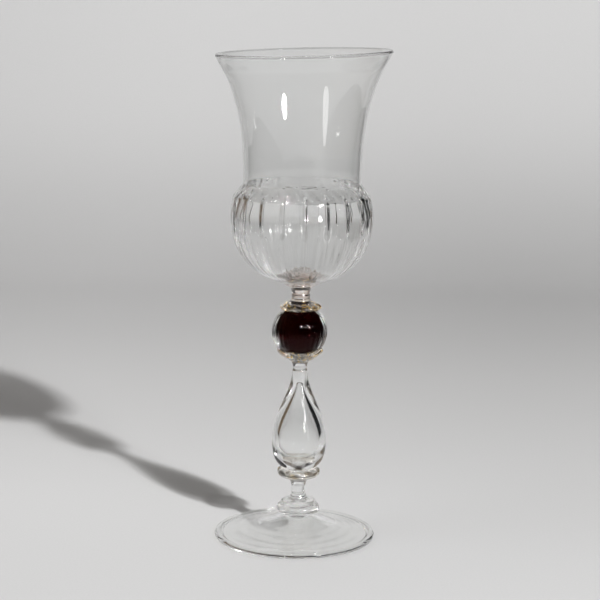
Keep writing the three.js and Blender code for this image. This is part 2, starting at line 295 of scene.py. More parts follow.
def foot_outline():
    """A thin foot with a rolled edge, which stands a little above and below the plate inside it."""
    bead = FOOT["bead"]
    ring = FOOT["radius"] - bead
    valley = (ring - FOOT["valley"], FOOT["valley_height"])
    top = Outline(*valley).sweep(BUTTON["seat"], FOOT["height"], (0.4, 0.15), (0.8, 0.75), 64)
    radii = np.array(top.points)[:, 0]
    thick = 1 - smoothstep(radii, *FOOT["wall_run"])
    wall = FOOT["edge_wall"] + (FOOT["wall"] - FOOT["edge_wall"]) * thick
    inside = grow(top.points, -wall)[:0:-1]
    inside[0] = (BUTTON["seat"] - FOOT["flat_inset"], FOOT["height"] - FOOT["wall"])
    return (
        Outline(0, FOOT["height"] - FOOT["wall"])
        .line(*inside[0])
        .follow(inside)
        .sweep(ring - FOOT["ring"], 0, (0.45, 0.1), (0.6, 1), 16)
        .line(ring, 0)
        .arc(ring, bead, bead, -math.pi / 2, FOOT["bead_end"])
        .sweep(*valley, (0.5, 0.3), (0.55, 1.05), 12)
        .follow(top.points)
        .line(0, FOOT["height"], melted=True)
    )


def foot_form(radius, height, angle):
    """The foot was spun by hand: its edge is off centre, and a faint spiral ripple runs over it."""
    out = smoothstep(radius, BUTTON["seat"], FOOT["radius"])
    share = between(radius, FOOT_SPIN["rise"], FOOT_SPIN["fall"])
    ripple = FOOT_SPIN["ripple"] * share * np.sin(2 * math.pi * radius / FOOT_SPIN["pitch"] + angle)
    x, y, z = polar(radius, np.maximum(height + ripple, 0), angle)
    return x + FOOT_SPIN["off_centre"] * out, y, z


def button_outline():
    return (
        Outline(0, 0)
        .line(BUTTON["seat"], 0, melted=True)
        .sweep(BUTTON["radius"], BUTTON["belly"], (0.75, 0.08), (1, 0.5))
        .sweep(BUTTON["crease"], BUTTON["crease_height"], (0, 0.55), (0.6, 1))
        .sweep(BUTTON["shoulder"], BUTTON["shoulder_height"], (1, 0), (1, 0.5), 12)
        .sweep(LOWER_SPOOL["foot"], BUTTON["height"], (0, 0.5), (0.7, 0.5))
        .line(0, BUTTON["height"], melted=True)
    )


def button_form(radius, height, angle):
    """The button was pressed by hand, so its edge isn't quite round."""
    lump = waves(BUTTON_LUMPS["waves"], angle) * smoothstep(radius, *BUTTON_LUMPS["rise"])
    return polar(radius * (1 + lump), height, angle)


def spool_outline(size):
    return (
        Outline(0, 0)
        .line(size["foot"], 0, melted=True)
        .sweep(size["waist"], size["waist_height"], (0.7, 0.3), (1, 0.5))
        .sweep(size["head"], size["height"], (0, 0.4), (0.45, 0.8))
        .line(0, size["height"], melted=True)
    )


def upper_spool_form(radius, height, angle):
    """Rings were turned into the upper spool."""
    low, high = foot_of("upper_spool"), head_of("upper_spool")
    share = (height - low) / (high - low)
    ring = np.sin(math.pi * share) * np.cos(2 * math.pi * SPOOL_RINGS["count"] * share)
    return polar(radius * (1 + SPOOL_RINGS["depth"] * ring / reach_of("upper_spool")), height, angle)


def collar_outline(size, seat, nested, nested_seat):
    """A collar on a seat, with a dish for the rounded end that stands in it."""
    dish = grow(nested, NEST_GAP) + (0, size["height"])
    dish = dish[(dish[:, 0] < size["mouth"]) & (dish[:, 1] > size["height"])][::-1]
    return (
        Outline(0, 0)
        .line(seat, 0, melted=True)
        .sweep(size["rim"], size["rim_height"], *size["flare"])
        .sweep(dish[0, 0], dish[0, 1], (0, 0.7), (0.45, 1))
        .follow(dish)
        .line(nested_seat, size["height"])
        .line(0, size["height"], melted=True)
    )


def collar_piece(name, outline, size):
    """A collar whose rim was nipped by hand, so that it runs in soft waves."""
    heights = [height for radius, height in outline.points]
    middle = (min(heights) + max(heights)) / 2

    def form(radius, height, angle):
        share = smoothstep(radius, COLLAR_NIP["from"] * size["rim"], size["rim"])
        more_lobes = size["lobes"] + COLLAR_NIP["extra_lobes"]
        wave = np.cos(size["lobes"] * angle + size["phase"])
        wave = wave + COLLAR_NIP["extra_share"] * np.cos(more_lobes * angle + 2 * size["phase"])
        nip = share * size["wave"] * wave
        side = np.sign(height - middle)
        radius = radius + COLLAR_NIP["outward"] * nip
        return polar(radius, height + nip * (1 + COLLAR_NIP["uneven"] * side), angle)

    return turn(name, outline, COLLAR_ROUND, form)


def drop_end():
    end = Outline(DROP["seat"], 0).sweep(DROP["radius"], DROP["belly"], (0.33, 0.02), (1, 0.09), 40)
    return end.points


def drop_outline():
    return (
        Outline(0, 0)
        .line(DROP["seat"], 0, melted=True)
        .follow(drop_end())
        .sweep(NECK_SPOOL["foot"], DROP["height"], (0, 0.45), (1, 0.69), 64)
        .line(0, DROP["height"], melted=True)
    )


def bubble_outline():
    tip_centre = BUBBLE["tip"] - BUBBLE["tip_radius"]
    return (
        Outline(0, BUBBLE["tip"])
        .arc(0, tip_centre, BUBBLE["tip_radius"], math.pi / 2, BUBBLE["tip_end"], 10)
        .sweep(BUBBLE["radius"], BUBBLE["belly"], (0.28, 0.42), (1, 0.62), 64)
        .sweep(0, BUBBLE["floor"], *QUARTER_CIRCLE, 32)
    )


def drop_piece():
    """The drop and the face of the bubble inside it, as one mesh."""
    piece = turn("teardrop_glass", drop_outline().raised(foot_of("teardrop")), DROP_ROUND)
    bubble = turn("bubble", bubble_outline().raised(foot_of("teardrop")), DROP_ROUND)
    bpy.ops.object.select_all(action="DESELECT")
    piece.select_set(True)
    bubble.select_set(True)
    bpy.context.view_layer.objects.active = piece
    bpy.ops.object.join()
    return piece


# Ball

BALL_CENTRE = math.sqrt(BALL["radius"] ** 2 - BALL["seat"] ** 2)
BALL_TILT = math.atan2(BALL_CENTRE, BALL["seat"])
ARCH_ROUNDING = 0.002

# Points this near to the ball's radius lie on its face
ON_BALL = 0.01


def rib_arch(angle, ribs, turn_by=0.0):
    """The height lost along a row of round arches: 0 on the crown of each arch and 1 between two arches."""
    wave = np.cos((angle - turn_by) * ribs / 2)
    return 1 - np.sqrt(wave * wave + ARCH_ROUNDING)


def ball_side(end):
    return Outline(BALL["seat"], 0).arc(0, BALL_CENTRE, BALL["radius"], -BALL_TILT, end, 64)


def core_side(gap):
    """The core from its lowest point to the top of its neck, grown by a gap."""
    size, neck = CORE["radius"] + gap, CORE["neck"] + gap
    return (
        Outline(0, BALL_CENTRE - size)
        .arc(0, BALL_CENTRE, size, -math.pi / 2, math.acos(neck / size), 48)
        .line(neck, 2 * BALL_CENTRE - gap)
    )


def core_outline():
    return core_side(0).line(0, 2 * BALL_CENTRE)


def core_form(radius, height, angle):
    x, y, z = polar(radius, height, angle)
    return x + BALL["off_centre"], y, z


def casing_outline():
    return (
        Outline(0, 0)
        .line(BALL["seat"], 0, melted=True)
        .follow(ball_side(BALL_TILT).points)
        .follow(core_side(MELT_GAP).points[::-1], melted=True)
    )


def casing_form(radius, height, angle):
    """The casing's fine ribs fade out towards its seats. The face round the core has none."""
    above_centre = height - foot_of("ball_casing") - BALL_CENTRE
    fade = np.maximum(1 - (above_centre / BALL_CENTRE) ** 2, 0)
    is_outside = np.hypot(radius, above_centre) > BALL["radius"] - ON_BALL
    groove = BALL["rib"] * fade * rib_arch(angle, BALL["ribs"])
    return core_form(radius - np.where(is_outside, groove, 0), height, angle)


# Bowl and ribbed cup. They share one grid, because the cup's scalloped lip lies along the bowl.

CUP_LIP_HEIGHT = CUP["lip_height"] - CUP["heel"]
STEPS_PER_RIB = 28
GROOVE_CROWDING = 0.6

# The bowl's side rises all the way from this height
SIDE_START = 0.5


def cup_round():
    """Angles round the cup, closer together in the grooves between its ribs."""
    share = np.arange(CUP["ribs"] * STEPS_PER_RIB) / STEPS_PER_RIB
    share = share + GROOVE_CROWDING * np.sin(2 * math.pi * share) / (2 * math.pi)
    return CUP["turn"] + share * 2 * math.pi / CUP["ribs"]


def bowl_side():
    """The bowl's outer face, from the middle of its base to its lip."""
    return (
        Outline(0, 0)
        .line(BOWL["seat"], 0, 36)
        .sweep(BOWL["belly"], BOWL["belly_height"], (0.29, 0.02), (1, 0.25), 72)
        .sweep(BOWL["neck"], BOWL["neck_height"], (0, 0.25), (1, 0.75), 40)
        .sweep(BOWL["rim"], BOWL["height"] - BOWL["lip"] / 2, (0, 0.64), (0.66, 0.86), 64)
    )


def rising(outline):
    """Radii and heights of the stretch of the bowl's side that rises."""
    outline = np.array(outline)
    rises = outline[:, 1] > SIDE_START
    return outline[rises, 0], outline[rises, 1]


def off_groove(angle):
    """0 in the middle of the groove between two cup ribs and 1 on the crown of a rib."""
    share = np.mod((angle - CUP["turn"]) * CUP["ribs"] / (2 * math.pi), 1)
    return np.abs(share - 0.5) * 2


def valley(from_middle, width):
    """1 in the middle of a rounded valley and 0 from its edge on."""
    return 0.5 + 0.5 * np.cos(math.pi * np.minimum(from_middle / width, 1))


def rib_groove(height, angle):
    """How deep the groove between two cup ribs is. It ends short of the lip, and runs out in a faint tail."""
    from_groove = off_groove(angle)
    head = GROOVE["head"] - GROOVE["head_fall"] * (1 - facing(angle))
    middle = (GROOVE["foot"] + head) / 2
    along = 2 * (height - middle) / (head - GROOVE["foot"])
    fade = np.maximum(1 - along ** GROOVE["fullness"], 0) * facing(angle, GROOVE["far_share"])
    uneven = 1 + waves(GROOVE["waves"], angle)
    groove = GROOVE["depth"] * uneven * valley(from_groove, GROOVE["width"]) * fade
    below = smoothstep(height, *GROOVE["tail_run"]) * (height < middle)
    return np.maximum(groove, GROOVE["tail"] * valley(from_groove, GROOVE["tail_width"]) * below)


def groove_lump(height, angle):
    """How far the glass is pushed up into a small lump at the head of a groove."""
    across = np.exp(-(off_groove(angle) / LUMP["width"]) ** 2)
    along = np.exp(-((height - GROOVE["head"] - LUMP["rise"]) / LUMP["length"]) ** 2)
    uneven = 1 + waves(LUMP["waves"], angle)
    return LUMP["size"] * across * along * uneven * facing(angle, LUMP["far_share"])


def wrinkle(height, angle):
    """Fine upright wrinkles in the cup's lower half."""
    return between(height, WRINKLE["rise"], WRINKLE["fall"]) * waves(WRINKLE["waves"], angle)


def dent(height, angle):
    """Small dents left by the tongs round the cup's shoulder."""
    share = between(height, DENTS["rise"], DENTS["fall"]) * facing(angle) ** 2
    return share * waves(DENTS["waves"], angle, height)


def crumple(size, radius, angle):
    """Uneven rings, pressed into a stretch of glass near the axis."""
    angle = angle + size["turn"]
    rings = np.sin(CRUMPLE["rings"] * radius + waves(CRUMPLE["drift"], angle))
    share = between(radius, size["rise"], size["fall"])
    return size["size"] * share * (rings + waves(CRUMPLE["waves"], angle, radius))


def lip_slide(height, angle):
    """How far the scalloped lip pulls a point of the bowl's or cup's face down. Heights are the bowl's."""
    below = smoothstep(height, BOWL["belly_height"], CUP_LIP_HEIGHT - LIP["below"])
    above = 1 - smoothstep(height, CUP_LIP_HEIGHT, CUP_LIP_HEIGHT + LIP["above"])
    share = np.where(height <= CUP_LIP_HEIGHT, below, above)
    scallop = LIP["scallop"] * rib_arch(angle, CUP["ribs"], CUP["turn"])
    return share * facing(angle) * (scallop + LIP["sag"] + waves(LIP["waves"], angle))


def slid(radius, height, angle, outline):
    """Slides points along an outline to follow the scalloped lip."""
    lower = height - lip_slide(height, angle)
    line_radius, line_height = rising(outline)
    shift = np.interp(lower, line_height, line_radius) - np.interp(height, line_height, line_radius)
    return np.where(lower < height, radius + shift, radius), lower


def rim_form(radius, height, angle):
    """The rim was cut by hand: it is a little out of round and lies a little askew."""
    share = smoothstep(height, BOWL["neck_height"], BOWL["height"])
    askew = RIM["to_right"] * np.sin(angle) + RIM["to_front"] * np.cos(angle) + RIM["lift"]
    return radius + share * waves(RIM["waves"], angle), height + share * askew


def bowl_piece():
    """The bowl, with the mound in its floor and a thicker lip."""
    side = bowl_side().points
    line_radius, line_height = rising(side)
    lip_at = next(index for index, point in enumerate(side) if point[1] > CUP_LIP_HEIGHT)
    side.insert(lip_at, (float(np.interp(CUP_LIP_HEIGHT, line_height, line_radius)), CUP_LIP_HEIGHT))

    heights = np.array(side)[:, 1]
    wall = BOWL["floor_wall"] + (BOWL["wall"] - BOWL["floor_wall"]) * smoothstep(heights, *BOWL["wall_run"])
    bead = smoothstep(heights, BOWL["height"] - BOWL["lip_reach"], BOWL["height"] - BOWL["lip"] / 2)
    wall = wall + (BOWL["lip"] - wall) * bead
    inside = grow(side, -wall)[::-1]
    mound = 1 - smoothstep(inside[:, 0], 0, BOWL["kick_radius"])
    inside[:, 1] += mound * BOWL["kick"]
    inside[-1, 0] = 0
    middle = (np.array(side[-1]) + inside[0]) / 2
    lean = math.atan2(side[-1][1] - middle[1], side[-1][0] - middle[0])

    outline = Outline(*side[0]).follow(side[1:lip_at + 1], melted=True).follow(side[lip_at + 1:])
    outline.arc(*middle, BOWL["lip"] / 2, lean, lean + math.pi, 16).follow(inside)
    foot = foot_of("ribbed_cup") + CUP["heel"]

    def form(radius, height, angle):
        is_side = np.arange(len(radius))[:, None] < len(side)
        slid_radius, slid_height = slid(radius, height, angle, side)
        crumpled = height + crumple(FLOOR_CRUMPLE, radius, angle)
        radius = np.where(is_side, slid_radius, radius)
        height = np.where(is_side, slid_height, crumpled)
        radius, height = rim_form(radius, height, angle)
        return polar(radius, height + foot, angle)

    return turn("bowl_glass", outline, cup_round(), form)


def cup_piece():
    """The ribbed cup, which lies round the lower part of the bowl."""
    side = [(radius, height) for radius, height in grow(bowl_side().points, MELT_GAP)]
    line_radius, line_height = rising(side)
    lip_radius = float(np.interp(CUP_LIP_HEIGHT, line_height, line_radius))
    heel = CUP["heel"]
    inside = [(radius, height) for radius, height in side if SIDE_START < height < CUP_LIP_HEIGHT][::-1]
    outline = (
        Outline(0, -heel)
        .line(UPPER_SPOOL["head"], -heel, melted=True)
        .sweep(CUP["heel_radius"], CUP["fillet"] - heel, (0.25, 0.42), (0.63, 0.85), 32)
        .sweep(CUP["belly"], CUP["belly_height"] - heel, (0.22, 0.04), (1, 0.24), 72)
        .sweep(CUP["panel"], CUP["panel_height"] - heel, (0, 0.4), (0.57, 0.67), 32)
        .sweep(CUP["shoulder"], CUP["shoulder_height"] - heel, (0.17, 0.46), (0.31, 0.64), 16)
        .sweep(lip_radius + MELT_GAP, CUP_LIP_HEIGHT, (0.36, 0.34), (0.7, 0.67), 28)
    )
    outside_count = len(outline.points)
    outline.line(lip_radius, CUP_LIP_HEIGHT, 1).follow(inside, melted=True)
    outline.line(BOWL["seat"], -MELT_GAP, 1, melted=True).line(0, -MELT_GAP, melted=True)
    foot = foot_of("ribbed_cup") + heel

    def form(radius, height, angle):
        is_outside = np.arange(len(radius))[:, None] < outside_count
        on_cup = height + heel
        depth = rib_groove(on_cup, angle) - groove_lump(on_cup, angle)
        depth = depth + wrinkle(on_cup, angle) + dent(on_cup, angle)
        lift = crumple(HEEL_CRUMPLE, radius, angle)
        radius, height = slid(radius, height, angle, side)
        radius = np.where(is_outside, radius - depth, radius)
        height = np.where(is_outside, height + lift, height)
        return polar(radius, height + foot, angle)

    return turn("ribbed_cup_glass", outline, cup_round(), form)


# Materials

CLEAR_PALE = (0.998, 0.999, 0.998)
CLEAR = (0.985, 0.99, 0.988)
CLEAR_DEEP = (0.97, 0.975, 0.97)
GOLD = (0.99, 0.975, 0.95)
GOLD_DEEP = (0.95, 0.9, 0.83)
AMBER = (0.45, 0.33, 0.15)
LEAF = (0.85, 0.6, 0.2)
ROSE_BROWN = (0.78, 0.63, 0.55)
GARNET = (0.011, 0.0002, 0.0003)
GARNET_DEEP = (0.007, 0.0001, 0.0002)
SHADOW_TINT = (1, 1, 0.99)

# The ripple's depth in metres and its scale, and the scale and soft edge of the flecks of gold leaf
RIPPLE = 0.00003
RIPPLE_SCALE = 60.0
FLECK_SCALE = 600.0
FLECK_EDGE = 0.04


def shader(name):
    """A new material, its node tree and its output."""
    material = bpy.data.materials.new(name)
    material.use_nodes = True
    tree = material.node_tree
    tree.nodes.clear()
    return material, tree, tree.nodes.new("ShaderNodeOutputMaterial")


def noise(tree, place, scale, detail):
    node = tree.nodes.new("ShaderNodeTexNoise")
    node.inputs["Scale"].default_value = scale
    node.inputs["Detail"].default_value = detail
    tree.links.new(place, node.inputs["Vector"])
    return node.outputs["Fac"]


def band(tree, value, run, start=0.0, end=1.0, ease="SMOOTHSTEP"):
    """A value that goes from one tone to another along a run of places."""
    node = tree.nodes.new("ShaderNodeMapRange")
    node.interpolation_type = ease
    node.inputs["From Min"].default_value = run[0]
    node.inputs["From Max"].default_value = run[1]
    node.inputs["To Min"].default_value = start
    node.inputs["To Max"].default_value = end
    tree.links.new(value, node.inputs["Value"])
    return node.outputs["Result"]


def times(tree, *values):
    product = values[0]
    for value in values[1:]:
        node = tree.nodes.new("ShaderNodeMath")
        node.operation = "MULTIPLY"
        tree.links.new(product, node.inputs[0])
        tree.links.new(value, node.inputs[1])
        product = node.outputs["Value"]
    return product


def one_minus(tree, value):
    node = tree.nodes.new("ShaderNodeMath")
    node.operation = "SUBTRACT"
    node.inputs[0].default_value = 1.0
    tree.links.new(value, node.inputs[1])
    return node.outputs["Value"]


def colour_mix(tree, share, first, second):
    """A mix of two colours. The first is a socket or a colour, and the second a colour."""
    node = tree.nodes.new("ShaderNodeMix")
    node.data_type = "RGBA"
    if isinstance(first, tuple):
        node.inputs["A"].default_value = (*first, 1)
    else:
        tree.links.new(first, node.inputs["A"])
    node.inputs["B"].default_value = (*second, 1)
    tree.links.new(share, node.inputs["Factor"])
    return node.outputs["Result"]


def glass(name, thin, thick, lamp_share, ior=1.5, mirror=(1, 1, 1), coat=0.3, blur=0.12):
    """Glass that drifts between two tints and ripples faintly. lamp_share is how much of the lamps' light it
    lets by, mirror tints its reflections, coat is the strength of the glints on its skin and blur how soft
    they are."""
    material, tree, output = shader(name)
    new, link = tree.nodes.new, tree.links.new
    place = new("ShaderNodeTexCoord")
    drift = noise(tree, place.outputs["Object"], RIPPLE_SCALE, 1.0)

    wave = new("ShaderNodeBump")
    wave.inputs["Strength"].default_value = 1.0
    wave.inputs["Distance"].default_value = RIPPLE
    link(drift, wave.inputs["Height"])

    body = new("ShaderNodeBsdfPrincipled")
    body.inputs["Transmission Weight"].default_value = 1.0
    body.inputs["Roughness"].default_value = 0.0
    body.inputs["IOR"].default_value = ior
    body.inputs["Specular Tint"].default_value = (*mirror, 1)
    body.inputs["Coat Weight"].default_value = coat
    body.inputs["Coat Roughness"].default_value = blur
    link(colour_mix(tree, drift, thin, thick), body.inputs["Base Color"])
    link(wave.outputs["Normal"], body.inputs["Normal"])

    # Light passes two faces of a piece, so each of them lets by the root of the share
    clear = new("ShaderNodeBsdfTransparent")
    side_share = math.sqrt(lamp_share)
    clear.inputs["Color"].default_value = (*(side_share * tint for tint in SHADOW_TINT), 1)
    rays = new("ShaderNodeLightPath")
    mix = new("ShaderNodeMixShader")
    link(rays.outputs["Is Shadow Ray"], mix.inputs["Fac"])
    link(body.outputs["BSDF"], mix.inputs[1])
    link(clear.outputs["BSDF"], mix.inputs[2])
    link(mix.outputs["Shader"], output.inputs["Surface"])
    return material


def node_of(material, kind):
    """The first node of a kind in a glass."""
    return next(node for node in material.node_tree.nodes if node.type == kind)


def from_axis(tree, place):
    """The distance from the Z axis, in metres."""
    flat = tree.nodes.new("ShaderNodeVectorMath")
    flat.operation = "MULTIPLY"
    flat.inputs[1].default_value = (1, 1, 0)
    tree.links.new(place, flat.inputs[0])
    length = tree.nodes.new("ShaderNodeVectorMath")
    length.operation = "LENGTH"
    tree.links.new(flat.outputs["Vector"], length.inputs[0])
    return length.outputs["Value"]


def stain(material, colour, clear_at, full_at, cloud_run, scale):
    """Tints a glass in cloudy patches, from one distance from the axis to another, in millimetres."""
    tree = material.node_tree
    place = node_of(material, "TEX_COORD").outputs["Object"]
    body = node_of(material, "BSDF_PRINCIPLED")
    reach = band(tree, from_axis(tree, place), (clear_at * MM, full_at * MM))
    patches = band(tree, noise(tree, place, scale, 2.0), cloud_run)
    tint = body.inputs["Base Color"].links[0].from_socket
    stained = colour_mix(tree, times(tree, reach, patches), tint, colour)
    tree.links.new(stained, body.inputs["Base Color"])


def gild(material, colour, threshold):
    """Sprinkles flecks of gold leaf over a glass."""
    tree = material.node_tree
    place = node_of(material, "TEX_COORD").outputs["Object"]
    body = node_of(material, "BSDF_PRINCIPLED")
    last_mix = node_of(material, "MIX_SHADER")
    specks = noise(tree, place, FLECK_SCALE, 0.0)
    fleck = band(tree, specks, (threshold, threshold + FLECK_EDGE), ease="LINEAR")
    leaf = tree.nodes.new("ShaderNodeBsdfPrincipled")
    leaf.inputs["Base Color"].default_value = (*colour, 1)
    leaf.inputs["Metallic"].default_value = 1.0
    leaf.inputs["Roughness"].default_value = 0.35
    gilded = tree.nodes.new("ShaderNodeMixShader")
    tree.links.new(fleck, gilded.inputs["Fac"])
    tree.links.new(body.outputs["BSDF"], gilded.inputs[1])
    tree.links.new(leaf.outputs["BSDF"], gilded.inputs[2])
    tree.links.new(gilded.outputs["Shader"], last_mix.inputs[1])


def melted_joint():
    material, tree, output = shader("melted joint")
    clear = tree.nodes.new("ShaderNodeBsdfTransparent")
    tree.links.new(clear.outputs["BSDF"], output.inputs["Surface"])
    return material


JOINT = melted_joint()
FOOT_GLASS = glass("foot glass", CLEAR_PALE, CLEAR, 0.99)
BOWL_GLASS = glass("bowl glass", CLEAR, CLEAR_DEEP, 0.75, coat=0)
CUP_GLASS = glass("cup glass", CLEAR, CLEAR_DEEP, 0.09)
STEM_GLASS = glass("stem glass", CLEAR, CLEAR_DEEP, 0.18)
BUTTON_GLASS = glass("button glass", CLEAR, CLEAR_DEEP, 0.45)
DROP_GLASS = glass("drop glass", CLEAR, CLEAR_DEEP, 0.33, mirror=(0.25, 0.25, 0.25), coat=0.02)
DROP_COLLAR_GLASS = glass("faint gold glass", GOLD, GOLD_DEEP, 0.24)
BALL_COLLAR_GLASS = glass("gold glass", GOLD, GOLD_DEEP, 0.24)
CASING_GLASS = glass("casing glass", CLEAR, CLEAR_DEEP, 0.45, mirror=(0.14, 0.05, 0.05), coat=0.06, blur=0.05)
GARNET_GLASS = glass("garnet glass", GARNET, GARNET_DEEP, 0.25, ior=1.02, mirror=(0, 0, 0), coat=0)
stain(BOWL_GLASS, ROSE_BROWN, clear_at=15, full_at=12, cloud_run=(0.4, 0.55), scale=700.0)
stain(CUP_GLASS, ROSE_BROWN, clear_at=15, full_at=12, cloud_run=(0.4, 0.55), scale=700.0)
stain(DROP_COLLAR_GLASS, AMBER, clear_at=7.5, full_at=11, cloud_run=(0.48, 0.66), scale=180.0)
stain(BALL_COLLAR_GLASS, AMBER, clear_at=7, full_at=10.5, cloud_run=(0.46, 0.62), scale=200.0)
gild(BALL_COLLAR_GLASS, LEAF, threshold=0.7)


# The pieces


def dress(piece, node, material):
    """Gives a piece its glass and the melted-joint material, hangs it under the root body and hides the CAD
    node that it stands for.
    """
    piece.data.materials.append(material)
    piece.data.materials.append(JOINT)
    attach(piece, "root")
    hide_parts(node)


button_line = button_outline().raised(FOOT["height"])
lower_line = spool_outline(LOWER_SPOOL).raised(foot_of("lower_spool"))
neck_line = spool_outline(NECK_SPOOL).raised(foot_of("neck_spool"))
upper_line = spool_outline(UPPER_SPOOL).raised(foot_of("upper_spool"))
core_line = core_outline().raised(foot_of("ball_casing"))
casing_line = casing_outline().raised(foot_of("ball_casing"))
ball_end = ball_side(0).points
drop_ring_line = collar_outline(DROP_COLLAR, LOWER_SPOOL["head"], drop_end(), DROP["seat"])
lower_ring_line = collar_outline(BALL_LOWER_COLLAR, NECK_SPOOL["head"], ball_end, BALL["seat"])
upper_ring_line = collar_outline(BALL_UPPER_COLLAR, UPPER_SPOOL["foot"], ball_end, BALL["seat"])
drop_ring_line.raised(foot_of("drop_collar"))
lower_ring_line.raised(foot_of("ball_lower_collar"))
upper_ring_line.turned_over(head_of("ball_upper_collar"))

foot = turn("foot_glass", foot_outline(), FOOT_ROUND, foot_form)
button = turn("foot_button_glass", button_line, STEM_ROUND, button_form)
lower_spool = turn("lower_spool_glass", lower_line, STEM_ROUND)
drop_ring = collar_piece("drop_collar_glass", drop_ring_line, DROP_COLLAR)
drop = drop_piece()
neck_spool = turn("neck_spool_glass", neck_line, STEM_ROUND)
lower_ring = collar_piece("ball_lower_collar_glass", lower_ring_line, BALL_LOWER_COLLAR)
core = turn("ball_core_glass", core_line, STEM_ROUND, core_form)
casing = turn("ball_casing_glass", casing_line, CASING_ROUND, casing_form)
upper_ring = collar_piece("ball_upper_collar_glass", upper_ring_line, BALL_UPPER_COLLAR)
upper_spool = turn("upper_spool_glass", upper_line, STEM_ROUND, upper_spool_form)
cup = cup_piece()
bowl = bowl_piece()

dress(foot, "foot", FOOT_GLASS)
dress(button, "foot_button", BUTTON_GLASS)
dress(lower_spool, "lower_spool", STEM_GLASS)
dress(drop_ring, "drop_collar", DROP_COLLAR_GLASS)
dress(drop, "teardrop", DROP_GLASS)
dress(neck_spool, "neck_spool", STEM_GLASS)
dress(lower_ring, "ball_lower_collar", BALL_COLLAR_GLASS)
dress(core, "ball_core", GARNET_GLASS)
dress(casing, "ball_casing", CASING_GLASS)
dress(upper_ring, "ball_upper_collar", BALL_COLLAR_GLASS)
dress(upper_spool, "upper_spool", CUP_GLASS)
dress(cup, "ribbed_cup", CUP_GLASS)
dress(bowl, "bowl", BOWL_GLASS)


# Stage: one sheet of pale paper that runs back over a dark table and up a wall, in metres

PAPER = {
    "front": -0.83, "bend": 0.75, "radius": 0.7, "top": 1.8, "left": 0.58, "right": 0.375,
    "left_spread": 0.45, "right_spread": 0.3, "spread_run": (-0.05, 0.5), "floor_rows": 40, "bend_rows": 33,
}
TABLE = {"half_width": 6.0, "drop": 0.003}
PAPER_COLOUR = (0.741, 0.745, 0.753)
TABLE_COLOUR = (0.04, 0.04, 0.04)
STAGE_ROUGHNESS = 0.6

# Stretches along X or Y over which painted shade changes how dark the paper's colour is, and the shares that
# it reaches. The fine grain is the paper's own
PAINTED_SHADE_AND_GRAIN = {
    "right_shade_run": (-0.22, 0.22), "wall_run": (0.72, 1.36), "right_shade_on_wall": 0.28,
    "near_run": (-0.2, 0.1), "right_shade_in_front": 0.55, "front_run": (-0.15, 0.1),
    "lamp_run": (-0.75, -0.1), "shade_near_lamps": 0.58, "back_run": (0.35, 0.6), "back": 0.97,
    "into_bend": (0.7, 0.93), "out_of_bend": (0.98, 1.2), "bend": 0.085, "grain": 0.03, "grain_scale": 900.0,
}


def sheet(name, line, edges):
    """A sheet along a line of (y, z) points. edges gives its left and right edges at each y."""
    vertices = []
    for y, z in line:
        left, right = edges(y)
        vertices += [(left, y, z), (right, y, z)]
    faces = [(2 * row, 2 * row + 1, 2 * row + 3, 2 * row + 2) for row in range(len(line) - 1)]
    mesh = bpy.data.meshes.new(name)
    mesh.from_pydata(vertices, [], faces)
    mesh.polygons.foreach_set("use_smooth", [True] * len(faces))
    piece = bpy.data.objects.new(name, mesh)
    bpy.context.scene.collection.objects.link(piece)
    return piece


def paper_line():
    bend = [
        (PAPER["bend"] + PAPER["radius"] * math.sin(angle), PAPER["radius"] * (1 - math.cos(angle)))
        for angle in np.linspace(0, math.pi / 2, PAPER["bend_rows"])
    ]
    floor = [(y, 0.0) for y in np.linspace(PAPER["front"], PAPER["bend"], PAPER["floor_rows"])]
    return [*floor, *bend[1:], (bend[-1][0], PAPER["top"])]


def paper_edges(y):
    """The paper is narrow in front, and widens behind the goblet."""
    share = float(smoothstep(y, *PAPER["spread_run"]))
    return -PAPER["left"] - share * PAPER["left_spread"], PAPER["right"] + share * PAPER["right_spread"]


def table_edges(y):
    return -TABLE["half_width"], TABLE["half_width"]


def grain_and_painted_shade(tree, place, right_shade, front):
    """How dark the sheet's colour is painted at each place. It has a fine grain of its own, and painted shade
    darkens it to the right and in front by the two given shares, and a little near the lamps, behind the
    goblet and where it bends up."""
    axes = tree.nodes.new("ShaderNodeSeparateXYZ")
    tree.links.new(place, axes.inputs["Vector"])
    x, y = axes.outputs["X"], axes.outputs["Y"]
    # Painted shade: the paper's colour is darker to the right and in front
    to_right = band(tree, x, PAINTED_SHADE_AND_GRAIN["right_shade_run"], 0, right_shade)
    on_floor = band(tree, y, PAINTED_SHADE_AND_GRAIN["wall_run"], 1, PAINTED_SHADE_AND_GRAIN["right_shade_on_wall"])
    not_near = band(tree, y, PAINTED_SHADE_AND_GRAIN["near_run"], PAINTED_SHADE_AND_GRAIN["right_shade_in_front"], 1)
    # Painted shade where the paper bends up to the wall
    bend_shade = band(tree, y, PAINTED_SHADE_AND_GRAIN["into_bend"], 0, PAINTED_SHADE_AND_GRAIN["bend"])
    before_wall = band(tree, y, PAINTED_SHADE_AND_GRAIN["out_of_bend"], 1, 0)
    grain = noise(tree, place, PAINTED_SHADE_AND_GRAIN["grain_scale"], 2.0)
    return times(
        tree,
        band(tree, grain, (0, 1), 1 - PAINTED_SHADE_AND_GRAIN["grain"], 1 + PAINTED_SHADE_AND_GRAIN["grain"]),
        one_minus(tree, times(tree, to_right, on_floor, not_near)),
        band(tree, y, PAINTED_SHADE_AND_GRAIN["front_run"], 1 - front, 1),
        # Painted shade near the lamps and behind the goblet
        band(tree, y, PAINTED_SHADE_AND_GRAIN["lamp_run"], PAINTED_SHADE_AND_GRAIN["shade_near_lamps"], 1),
        band(tree, y, PAINTED_SHADE_AND_GRAIN["back_run"], 1, PAINTED_SHADE_AND_GRAIN["back"]),
        one_minus(tree, times(tree, bend_shade, before_wall)),
    )


